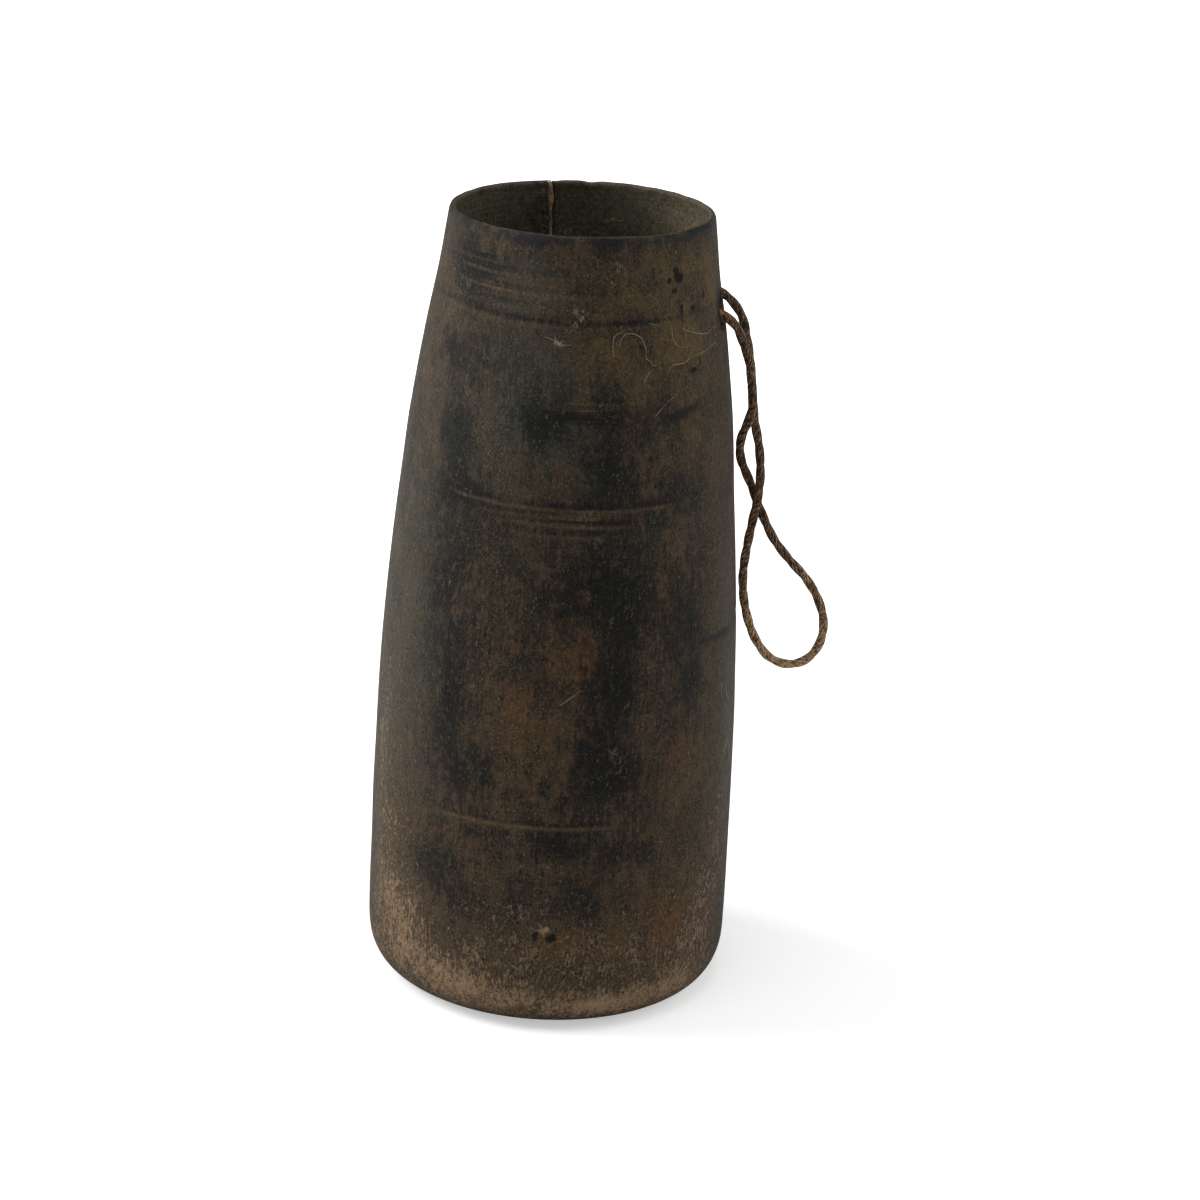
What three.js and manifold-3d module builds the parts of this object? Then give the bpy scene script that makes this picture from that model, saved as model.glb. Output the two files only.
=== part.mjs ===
// A tall carved wooden milk pot with a plied cord loop through two holes near its rim.
// Millimetres, +Z up. The origin is the centre of the underside, and the camera side is -Y.
import * as THREE from 'three';
import { mergeVertices } from 'three/addons/utils/BufferGeometryUtils.js';
import Module from 'manifold-3d';

const wasm = await Module();
wasm.setup();

// Turned outline of the carved body
const HEIGHT = 380;
const BELLY_RADIUS = 87.5;
const BELLY_HEIGHT = 80;
const RIM_RADIUS = 61.4;
const TAPER_POWER = 1.85;
const FOOT_HEIGHT = 25;
const FOOT_INSET = 21;
const FOOT_POWER = 2.6;

// Wall, lip and floor
const WALL = 6;
const LIP = 3.2;
const LIP_TAPER_LENGTH = 70;
const FLOOR = 14;
const FLOOR_CORNER = 20;

// The hand-cut rim leans a little to +X and stands higher on the camera side
const LEAN_START_HEIGHT = 150;
const RIM_LEAN = 1.34;
const RIM_RISE_FRONT = 1.8;
const RIM_RISE_RIGHT = 0.5;

// Facets of the body
const BODY_SIDES = 64;
const FOOT_STEPS = 7;
const WALL_STEPS = 10;
const LIP_STEPS = 5;
const CORNER_STEPS = 5;

// Space left between neighbouring solids
const CLEARANCE = 0.3;

// Drying crack in the back wall and the pale strip that fills its left side
const CRACK_AZIMUTH = 104.6;
const CRACK_DEPTH_BELOW_RIM = 114;
const FILLER_WIDTH = 1.6;
const CRACK_OPEN_WIDTH = 1;

// Cord, its two holes and the swing axis of the loop
const CORD_RADIUS = 2.25;
const CORD_SIDES = 10;
const LOOP_STEPS = 78;
const LOOP_START_GAP = 0.35;
const HOLE_WIDTH = 11;
const HOLE_TALL = 15;
const HOLE_SIDES = 24;
const CORD_DROP = 46.6;
const FRONT_AZIMUTH = -8.4;
const FRONT_STANDOFF = 3.9;
const FRONT_LEAD_RISE = 1.5;
const REAR_AZIMUTH = 12.5;
const REAR_STANDOFF = 5.2;
const REAR_PIVOT_RAISE = 3.6;
const REAR_LEAD_RISE = -2.5;

// Stopper knots inside the wall
const KNOT_RADIUS = 6.5;
const KNOT_HALF_LENGTH = 5;
const KNOT_SIDES = 20;
const KNOT_STEPS = 10;

// The free cord from the front hole round its eye to the rear hole, chosen by hand.
// Each point is outward from the wall, sideways and up, from the wall at the height of the front pivot.
const LOOP_POINTS = [
  [5, -8.9, -3.6],
  [7.3, -6.2, -7.6],
  [9.9, -3.35, -13.8],
  [12.9, -2.6, -21.8],
  [15.4, -2.5, -36.4],
  [15.9, -2.5, -44.4],
  [14.4, -2.2, -51.8],
  [12.1, -1.1, -59],
  [11.5, -0.1, -65.8],
  [12.7, 0.4, -72.2],
  [15.2, 1.2, -78],
  [18.4, 2.3, -85],
  [21.6, 2.6, -92.8],
  [25.2, 1.6, -100.6],
  [30.6, 0.3, -110.4],
  [38.2, 0, -119.8],
  [47.4, 0, -129.6],
  [54, 0, -140.4],
  [57.2, 0, -152],
  [55.6, 0, -163.2],
  [49.6, 0, -171.2],
  [41, 0, -173.7],
  [32, 0, -170.3],
  [25.2, 0, -161.8],
  [20.6, 0, -151],
  [17.8, 0, -139],
  [17, 0, -127],
  [18.2, -0.3, -113],
  [20.2, -2.2, -97.6],
  [21.4, -2.5, -88.8],
  [22, -1.2, -79.8],
  [20.8, 0.2, -66.2],
  [17.6, 1.9, -51.8],
  [16.2, 2.5, -41.8],
  [14, 2.6, -25],
  [11.8, 3.3, -13.8],
  [9.5, 6.8, -6],
  [6.5, 11.6, -1.2],
];

const oldWood = new THREE.MeshStandardMaterial({ name: 'old_wood', color: 0x3d3226, roughness: 0.62 });
const paleFiller = new THREE.MeshStandardMaterial({ name: 'pale_filler', color: 0xb9ab8a, roughness: 0.85 });
const plantFibre = new THREE.MeshStandardMaterial({ name: 'plant_fibre', color: 0x4a321c, roughness: 0.8 });

// Outline and carving

// Outer radius at a height above the rounded foot.
function outerRadius(z) {
  const share = Math.max(0, (z - BELLY_HEIGHT) / (HEIGHT - BELLY_HEIGHT));
  return BELLY_RADIUS - (BELLY_RADIUS - RIM_RADIUS) * share ** TAPER_POWER;
}

// Wall thickness, which thins towards the lip.
function wallAt(z) {
  return LIP + (WALL - LIP) * THREE.MathUtils.smoothstep(HEIGHT - z, 0, LIP_TAPER_LENGTH);
}

function innerRadius(z) {
  return outerRadius(z) - wallAt(z);
}

// How far a height shares in the hand-cut lean and rise of the rim, from 0 to 1.
function rimShare(z) {
  return Math.max(0, (z - LEAN_START_HEIGHT) / (HEIGHT - LEAN_START_HEIGHT)) ** 2;
}

// Moves a point of the turned form to its place on the hand-carved one.
function carve(point) {
  const share = rimShare(point.z);
  const rise = (RIM_RISE_RIGHT * point.x - RIM_RISE_FRONT * point.y) / RIM_RADIUS;
  point.x += RIM_LEAN * share;
  point.z += rise * share;
  return point;
}

// Point at an azimuth in degrees and a distance from the axis.
function polar(azimuth, radius, z) {
  const angle = THREE.MathUtils.degToRad(azimuth);
  return new THREE.Vector3(radius * Math.cos(angle) + RIM_LEAN * rimShare(z), radius * Math.sin(angle), z);
}

// Closed meshes and solids

// Turns a closed geometry into a solid.
function toSolid(geometry) {
  const bare = geometry.clone();
  bare.deleteAttribute('normal');
  bare.deleteAttribute('uv');
  const merged = mergeVertices(bare, 1e-5);
  const corners = merged.index.array;
  const kept = [];
  for (let i = 0; i < corners.length; i += 3) {
    const [a, b, c] = [corners[i], corners[i + 1], corners[i + 2]];
    if (a !== b && b !== c && c !== a) kept.push(a, b, c);
  }
  return new wasm.Manifold(new wasm.Mesh({
    numProp: 3,
    vertProperties: new Float32Array(merged.attributes.position.array),
    triVerts: new Uint32Array(kept),
  }));
}

// Turns a solid back into a geometry.
function toGeometry(solid) {
  const mesh = solid.getMesh();
  const geometry = new THREE.BufferGeometry();
  geometry.setAttribute('position', new THREE.BufferAttribute(new Float32Array(mesh.vertProperties), 3));
  geometry.setIndex(new THREE.BufferAttribute(new Uint32Array(mesh.triVerts), 1));
  geometry.computeVertexNormals();
  return geometry;
}

// Turns an outline of [radius, height] points round Z, then leans it as the body leans.
function turned(outline) {
  const points = outline.map(([radius, z]) => new THREE.Vector2(radius, z));
  const geometry = new THREE.LatheGeometry(points, BODY_SIDES);
  geometry.rotateX(Math.PI / 2);
  const position = geometry.attributes.position;
  const point = new THREE.Vector3();
  for (let i = 0; i < position.count; i += 1) {
    carve(point.fromBufferAttribute(position, i));
    position.setXYZ(i, point.x, point.y, point.z);
  }
  return toSolid(geometry);
}

// An upright slab that stands out from the axis at an azimuth, between two sideways offsets.
function radialSlab(azimuth, left, right, bottom, top) {
  const reach = 2 * BELLY_RADIUS;
  const geometry = new THREE.BoxGeometry(reach, right - left, top - bottom);
  geometry.translate(reach / 2, (left + right) / 2, (top + bottom) / 2);
  geometry.rotateZ(THREE.MathUtils.degToRad(azimuth));
  return toSolid(geometry);
}

// An upright ellipse pushed outward from the axis at an azimuth.
function radialHole(azimuth, centreHeight) {
  const outline = new THREE.Shape();
  outline.absellipse(0, 0, HOLE_WIDTH / 2, HOLE_TALL / 2, 0, 2 * Math.PI);
  const geometry = new THREE.ExtrudeGeometry(outline, {
    depth: 2 * BELLY_RADIUS,
    bevelEnabled: false,
    curveSegments: HOLE_SIDES / 2,
  });
  const angle = THREE.MathUtils.degToRad(azimuth);
  const outward = new THREE.Vector3(Math.cos(angle), Math.sin(angle), 0);
  const sideways = new THREE.Vector3(-Math.sin(angle), Math.cos(angle), 0);
  const placing = new THREE.Matrix4().makeBasis(sideways, new THREE.Vector3(0, 0, 1), outward);
  placing.setPosition(RIM_LEAN * rimShare(centreHeight), 0, centreHeight);
  geometry.applyMatrix4(placing);
  return toSolid(geometry);
}

// A tube of cord along a curve, with square ends.
function cordTube(curve, steps) {
  const section = [];
  for (let i = 0; i < CORD_SIDES; i += 1) {
    const angle = (2 * Math.PI * i) / CORD_SIDES;
    section.push(new THREE.Vector2(CORD_RADIUS * Math.cos(angle), CORD_RADIUS * Math.sin(angle)));
  }
  return new THREE.ExtrudeGeometry(new THREE.Shape(section), {
    steps,
    extrudePath: curve,
    bevelEnabled: false,
  });
}

// The carved body

// Quarter of a superellipse from the underside up to the full foot radius.
function footOutline() {
  const points = [];
  for (let i = 0; i <= FOOT_STEPS; i += 1) {
    const angle = (Math.PI / 2) * (i / FOOT_STEPS);
    const out = Math.sin(angle) ** (2 / FOOT_POWER);
    const up = Math.max(0, Math.cos(angle)) ** (2 / FOOT_POWER);
    const z = FOOT_HEIGHT * (1 - up);
    points.push([outerRadius(z) - FOOT_INSET * (1 - out), z]);
  }
  return points;
}

// Evenly spaced points up the wall between two heights, both left out.
function wallOutline(radiusAt, from, to) {
  const points = [];
  for (let i = 1; i < WALL_STEPS; i += 1) {
    const z = from + (to - from) * (i / WALL_STEPS);
    points.push([radiusAt(z), z]);
  }
  return points;
}

// Half circle over the lip, from the outside to the inside.
function lipOutline() {
  const points = [];
  const radius = LIP / 2;
  for (let i = 0; i <= LIP_STEPS; i += 1) {
    const angle = Math.PI * (i / LIP_STEPS);
    points.push([RIM_RADIUS - radius + radius * Math.cos(angle), HEIGHT - radius + radius * Math.sin(angle)]);
  }
  return points;
}

// The hollow's outline below its straight wall, from the wall down to the floor.
function floorOutline(offset) {
  const points = [];
  for (let i = 0; i <= CORNER_STEPS; i += 1) {
    const angle = (Math.PI / 2) * (i / CORNER_STEPS);
    const z = FLOOR + FLOOR_CORNER * (1 - Math.sin(angle));
    points.push([innerRadius(z) - offset - FLOOR_CORNER * (1 - Math.cos(angle)), z]);
  }
  return points;
}

function bodySolid() {
  const lipBase = HEIGHT - LIP / 2;
  return turned([
    [0, 0],
    ...footOutline(),
    ...wallOutline(outerRadius, FOOT_HEIGHT, lipBase),
    ...lipOutline(),
    ...wallOutline(innerRadius, lipBase, FLOOR + FLOOR_CORNER),
    ...floorOutline(0),
    [0, FLOOR],
  ]);
}

// The space inside the wall, drawn in by an offset and open past the rim.
function cavitySolid(offset) {
  const top = HEIGHT + FLOOR;
  return turned([
    [0, FLOOR],
    ...floorOutline(offset).reverse(),
    ...wallOutline((z) => innerRadius(z) - offset, FLOOR + FLOOR_CORNER, HEIGHT),
    [innerRadius(HEIGHT) - offset, top],
    [0, top],
  ]);
}

// Cord routes

// A cord's way through its hole: from behind the wall out to the ball on the swing axis.
function leadRoute(azimuth, height, standoff, rise) {
  const pivot = polar(azimuth, outerRadius(height) + standoff, height);
  const inside = polar(azimuth, innerRadius(height), height + rise);
  const outward = pivot.clone().sub(inside).normalize();
  return { azimuth, pivot, inside, outward };
}

const pivotHeight = HEIGHT - CORD_DROP;
const frontLead = leadRoute(FRONT_AZIMUTH, pivotHeight, FRONT_STANDOFF, FRONT_LEAD_RISE);
const rearLead = leadRoute(REAR_AZIMUTH, pivotHeight + REAR_PIVOT_RAISE, REAR_STANDOFF, REAR_LEAD_RISE);

// The hole's centre height, so that the cord lies on the hole's lower edge.
function holeHeight(lead) {
  const outerEnd = polar(lead.azimuth, outerRadius(lead.pivot.z), lead.pivot.z);
  const along = outerEnd.sub(lead.inside).dot(lead.outward);
  const atOuterFace = lead.inside.z + lead.outward.z * along;
  const lowest = Math.min(lead.inside.z, atOuterFace);
  return lowest - CORD_RADIUS - CLEARANCE + HOLE_TALL / 2;
}

function leadSolid(lead) {
  const tail = lead.inside.clone().addScaledVector(lead.outward, -KNOT_HALF_LENGTH);
  const tube = toSolid(cordTube(new THREE.LineCurve3(tail, lead.pivot), 1));
  const ball = new THREE.SphereGeometry(CORD_RADIUS, 2 * CORD_SIDES, CORD_SIDES);
  ball.translate(lead.pivot.x, lead.pivot.y, lead.pivot.z);
  return tube.add(toSolid(ball)).subtract(cavitySolid(0));
}

// A round stopper knot that bears on the wall round the hole's inner mouth.
function knotSolid(lead) {
  const outline = [];
  for (let i = 0; i <= KNOT_STEPS; i += 1) {
    const angle = Math.PI * (i / KNOT_STEPS);
    outline.push(new THREE.Vector2(KNOT_RADIUS * Math.sin(angle), -KNOT_HALF_LENGTH * Math.cos(angle)));
  }
  const geometry = new THREE.LatheGeometry(outline, KNOT_SIDES);
  const turn = new THREE.Quaternion().setFromUnitVectors(new THREE.Vector3(0, 1, 0), lead.outward);
  geometry.applyQuaternion(turn);
  const centre = lead.inside.clone().addScaledVector(lead.outward, CLEARANCE - KNOT_HALF_LENGTH / 2);
  geometry.translate(centre.x, centre.y, centre.z);
  return toSolid(geometry).intersect(cavitySolid(CLEARANCE));
}

// The loop's start or end: square to its route, just clear of the lead's ball.
function looseEnd(pivot, next) {
  const away = next.clone().sub(pivot).normalize();
  return pivot.clone().addScaledVector(away, CORD_RADIUS + LOOP_START_GAP);
}

function loopGeometry() {
  const wall = polar(0, outerRadius(pivotHeight), pivotHeight);
  const route = LOOP_POINTS.map(([out, side, up]) => new THREE.Vector3(wall.x + out, side, wall.z + up));
  const first = looseEnd(frontLead.pivot, route[0]);
  const last = looseEnd(rearLead.pivot, route[route.length - 1]);
  const curve = new THREE.CatmullRomCurve3([first, ...route, last], false, 'centripetal');
  curve.arcLengthDivisions = 20 * LOOP_STEPS;
  return cordTube(curve, LOOP_STEPS);
}

// The crack and its filler

const crackLeft = FILLER_WIDTH / 2 + CLEARANCE;
const crackRight = -FILLER_WIDTH / 2 - CRACK_OPEN_WIDTH;
const crackBottom = HEIGHT - CRACK_DEPTH_BELOW_RIM;
const crackTop = HEIGHT + FLOOR;
const fillerBottom = crackBottom + CLEARANCE;

const body = bodySolid();
const crack = radialSlab(CRACK_AZIMUTH, crackRight, crackLeft, crackBottom, crackTop);
const fillerSlab = radialSlab(CRACK_AZIMUTH, -FILLER_WIDTH / 2, FILLER_WIDTH / 2, fillerBottom, crackTop);

// The finished assembly

const pot = new THREE.Group();
pot.name = 'wooden_pot';

function addPiece(name, geometry, material) {
  const piece = new THREE.Mesh(geometry, material);
  piece.name = name;
  pot.add(piece);
}

let potBody = body.subtract(crack);
for (const lead of [frontLead, rearLead]) {
  potBody = potBody.subtract(radialHole(lead.azimuth, holeHeight(lead)));
}
addPiece('pot_body', toGeometry(potBody), oldWood);
addPiece('crack_filler', toGeometry(body.intersect(fillerSlab)), paleFiller);
addPiece('front_cord_lead', toGeometry(leadSolid(frontLead)), plantFibre);
addPiece('rear_cord_lead', toGeometry(leadSolid(rearLead)), plantFibre);
addPiece('front_stopper_knot', toGeometry(knotSolid(frontLead)), plantFibre);
addPiece('rear_stopper_knot', toGeometry(knotSolid(rearLead)), plantFibre);
addPiece('hanging_cord', loopGeometry(), plantFibre);

export default pot;
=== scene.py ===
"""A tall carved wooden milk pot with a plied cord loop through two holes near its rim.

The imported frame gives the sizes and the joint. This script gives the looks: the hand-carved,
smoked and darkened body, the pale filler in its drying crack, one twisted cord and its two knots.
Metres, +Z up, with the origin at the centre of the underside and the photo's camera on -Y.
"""

from __future__ import annotations

import logging
import math
import random
from dataclasses import dataclass
from enum import Enum

import bmesh
import bpy
import numpy as np
from mathutils import Matrix, Quaternion, Vector, noise

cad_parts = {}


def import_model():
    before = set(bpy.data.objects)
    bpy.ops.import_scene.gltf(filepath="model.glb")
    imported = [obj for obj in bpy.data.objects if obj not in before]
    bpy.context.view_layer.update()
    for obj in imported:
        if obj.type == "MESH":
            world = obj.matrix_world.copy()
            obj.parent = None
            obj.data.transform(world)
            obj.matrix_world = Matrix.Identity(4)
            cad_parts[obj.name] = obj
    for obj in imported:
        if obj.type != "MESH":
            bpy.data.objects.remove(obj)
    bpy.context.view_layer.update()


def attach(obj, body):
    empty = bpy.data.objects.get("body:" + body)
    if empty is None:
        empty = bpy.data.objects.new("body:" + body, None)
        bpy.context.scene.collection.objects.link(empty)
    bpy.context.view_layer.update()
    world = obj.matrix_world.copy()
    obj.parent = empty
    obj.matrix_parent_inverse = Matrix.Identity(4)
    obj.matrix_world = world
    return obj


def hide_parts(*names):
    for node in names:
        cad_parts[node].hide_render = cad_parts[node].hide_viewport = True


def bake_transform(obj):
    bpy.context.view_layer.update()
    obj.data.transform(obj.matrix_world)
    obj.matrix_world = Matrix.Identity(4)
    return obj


LOG = logging.getLogger("wooden_pot")
MM = 0.001
FULL_TURN = 2 * math.pi
LAY_ATTRIBUTE = "lay"
RUBBED_ATTRIBUTE = "rubbed"
WELD_DISTANCE = 1e-6

Piece = bpy.types.Object
Socket = bpy.types.NodeSocket


class Body(Enum):
    """The two rigid bodies of the frame."""

    POT = "pot"
    LOOP = "hanging_loop"


class Slot(Enum):
    """The record's material slots."""

    WOOD = "old_wood"
    FILLER = "pale_filler"
    FIBRE = "plant_fibre"


class Tint(Enum):
    """How a place on the wood differs. Each is a vertex attribute that the wood's material reads."""

    # Soot, and painted shade above the tool grooves and down the crack's open edge.
    SOOT = "soot"
    WARM = "warm"
    OCHRE = "ochre"
    # Grey-green smoke tone, and painted sheen near the pot's two sides.
    SMOKE = "smoke_and_sheen"
    # Wear, and the painted highlight along the front of the lip.
    WORN = "worn"
    # A pale line just below each tool groove: painted highlight.
    LINE = "line"
    # Dark spots, and painted shade over the two cord holes.
    SPOT = "spot_and_shade"
    TOOLED = "tooled"
    LIP = "lip"
    INSIDE = "inside"


# Shape


def turn_from(place: float, azimuth: float | np.ndarray) -> float | np.ndarray:
    """Degrees from one azimuth to another, the short way round."""
    return (azimuth - place + 180) % 360 - 180


def bell(value: float, middle: float, width: float) -> float:
    """A smooth bump, 1 at its middle."""
    return math.exp(-(((value - middle) / width) ** 2))


def ripple(x: float, y: float, z: float) -> float:
    """Smooth noise at a place, about -1 to 1."""
    return noise.noise(Vector((x, y, z)))


@dataclass(frozen=True)
class PotForm:
    """The carved form, from the frame's own driving sizes."""

    height: float = 380 * MM
    belly_radius: float = 87.5 * MM
    belly_height: float = 80 * MM
    rim_radius: float = 61.4 * MM
    taper_power: float = 1.85
    foot_height: float = 25 * MM
    foot_inset: float = 21 * MM
    foot_power: float = 2.6
    wall: float = 6 * MM
    lip: float = 3.2 * MM
    lip_taper: float = 70 * MM
    floor: float = 14 * MM
    floor_corner: float = 20 * MM
    lean_start: float = 150 * MM
    rim_lean: float = 1.34 * MM
    rim_rise_front: float = 1.8 * MM
    rim_rise_right: float = 0.5 * MM

    def outer_radius(self, z: float) -> float:
        """Outer radius at a height above the rounded foot."""
        share = max(0.0, (z - self.belly_height) / (self.height - self.belly_height))
        return self.belly_radius - (self.belly_radius - self.rim_radius) * share**self.taper_power

    def wall_at(self, z: float) -> float:
        """Wall thickness at a height, which thins towards the lip."""
        share = min(1.0, max(0.0, (self.height - z) / self.lip_taper))
        return self.lip + (self.wall - self.lip) * share * share * (3 - 2 * share)

    def inner_radius(self, z: float) -> float:
        """Inner radius at a height above the floor's corner."""
        return self.outer_radius(z) - self.wall_at(z)

    def rim_share(self, z: float) -> float:
        """How far a height shares in the lean and rise of the rim, from 0 to 1."""
        return max(0.0, (z - self.lean_start) / (self.height - self.lean_start)) ** 2

    def carve(self, point: Vector) -> Vector:
        """Moves a point of the turned form to its place on the hand-cut one."""
        share = self.rim_share(point.z)
        rise = (self.rim_rise_right * point.x - self.rim_rise_front * point.y) / self.rim_radius
        return Vector((point.x + self.rim_lean * share, point.y, point.z + rise * share))

    @staticmethod
    def directions(azimuth: float) -> tuple[Vector, Vector]:
        """The ways outward and sideways at an azimuth in degrees."""
        angle = math.radians(azimuth)
        return Vector((math.cos(angle), math.sin(angle), 0)), Vector((-math.sin(angle), math.cos(angle), 0))

    def polar(self, azimuth: float, radius: float, z: float) -> Vector:
        """Point at an azimuth in degrees and a distance from the leaning axis."""
        angle = math.radians(azimuth)
        x = radius * math.cos(angle) + self.rim_lean * self.rim_share(z)
        return Vector((x, radius * math.sin(angle), z))


@dataclass(frozen=True)
class Mark:
    """A soft-edged patch on the wall, in degrees of azimuth and millimetres.

    Attributes:
        azimuth: Place round the pot, -90 towards the camera and 0 at the cord.
        height: Height above the underside.
        across: Half width along the wall.
        up: Half height.
        strength: Value at the middle, negative to keep a tint away.
        tilt: Turn of the patch in degrees, positive leaning to the left.
    """

    azimuth: float
    height: float
    across: float
    up: float
    strength: float = 1.0
    tilt: float = 0.0

    def value(self, azimuth: np.ndarray, z: np.ndarray, radius: np.ndarray) -> np.ndarray:
        """The patch's value at points on the wall.

        Args:
            azimuth: Azimuths in degrees.
            z: Heights in metres.
            radius: Distances from the axis in metres.

        Returns:
            One value for each point, which falls off smoothly from the middle.
        """
        side = np.radians(turn_from(self.azimuth, azimuth)) * radius / MM
        rise = z / MM - self.height
        lean = math.radians(self.tilt)
        along = side * math.cos(lean) + rise * math.sin(lean)
        aloft = rise * math.cos(lean) - side * math.sin(lean)
        return self.strength * np.exp(-((along / self.across) ** 2) - (aloft / self.up) ** 2)


def patches(*rows: tuple[float, ...]) -> tuple[Mark, ...]:
    """Marks from rows of azimuth, height, half width, half height, strength and tilt."""
    return tuple(Mark(*row) for row in rows)


@dataclass(frozen=True)
class ToolRing:
    """A shallow groove that a tool left round the wall, between two azimuths.

    Attributes:
        height: Height above the underside in millimetres.
        start: Azimuth in degrees where it fades in.
        end: Azimuth in degrees where it fades out.
        depth: Depth in millimetres, which also sets how dark the painted shade just above it is.
        pale: How much it shows as a pale line just below it, a painted highlight.
        fade: Degrees over which each end fades.
    """

    height: float
    start: float
    end: float
    depth: float
    pale: float
    fade: float = 16.0

    def value(self, azimuth: np.ndarray, z: np.ndarray, width: float) -> np.ndarray:
        """How deep in the groove points of the wall lie, from 0 to 1."""
        turn = np.abs(turn_from((self.start + self.end) / 2, azimuth))
        reach = (self.end - self.start) / 2
        share = np.clip((reach + self.fade / 2 - turn) / self.fade, 0, 1)
        wobble = 0.5 * np.sin(np.radians(azimuth) * 3 + self.height)
        return share * np.exp(-(((z / MM - self.height - wobble) / width) ** 2))


TOOL_RINGS = tuple(
    ToolRing(*row)
    for row in (
        (342.5, -168, -30, 0.39, 0.52), (345.8, -150, -118, 0.10, 0.38), (349.4, -146, -104, 0.14, 0.45),
        (352.6, -150, -92, 0.10, 0.38), (356.0, -148, -84, 0.17, 0.68), (359.6, -132, -90, 0.10, 0.52),
        (363.2, -146, -90, 0.17, 0.68), (366.4, -158, -120, 0.14, 0.60), (330.0, -96, -50, 0.08, 0.30),
        (307.0, -100, -56, 0.10, 0.45), (303.4, -90, -60, 0.07, 0.30), (260.2, -134, -50, 0.24, 0.75),
        (256.4, -120, -74, 0.20, 0.65), (252.6, -112, -66, 0.24, 0.75), (248.2, -106, -74, 0.20, 0.60),
        (187.0, -44, 6, 0.35, 0.10), (106.4, -130, -66, 0.24, 0.85), (322.0, 40, 150, 0.14, 0.45),
        (286.0, 70, 190, 0.14, 0.38), (148.0, 20, 110, 0.14, 0.38),
    )
)

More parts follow.
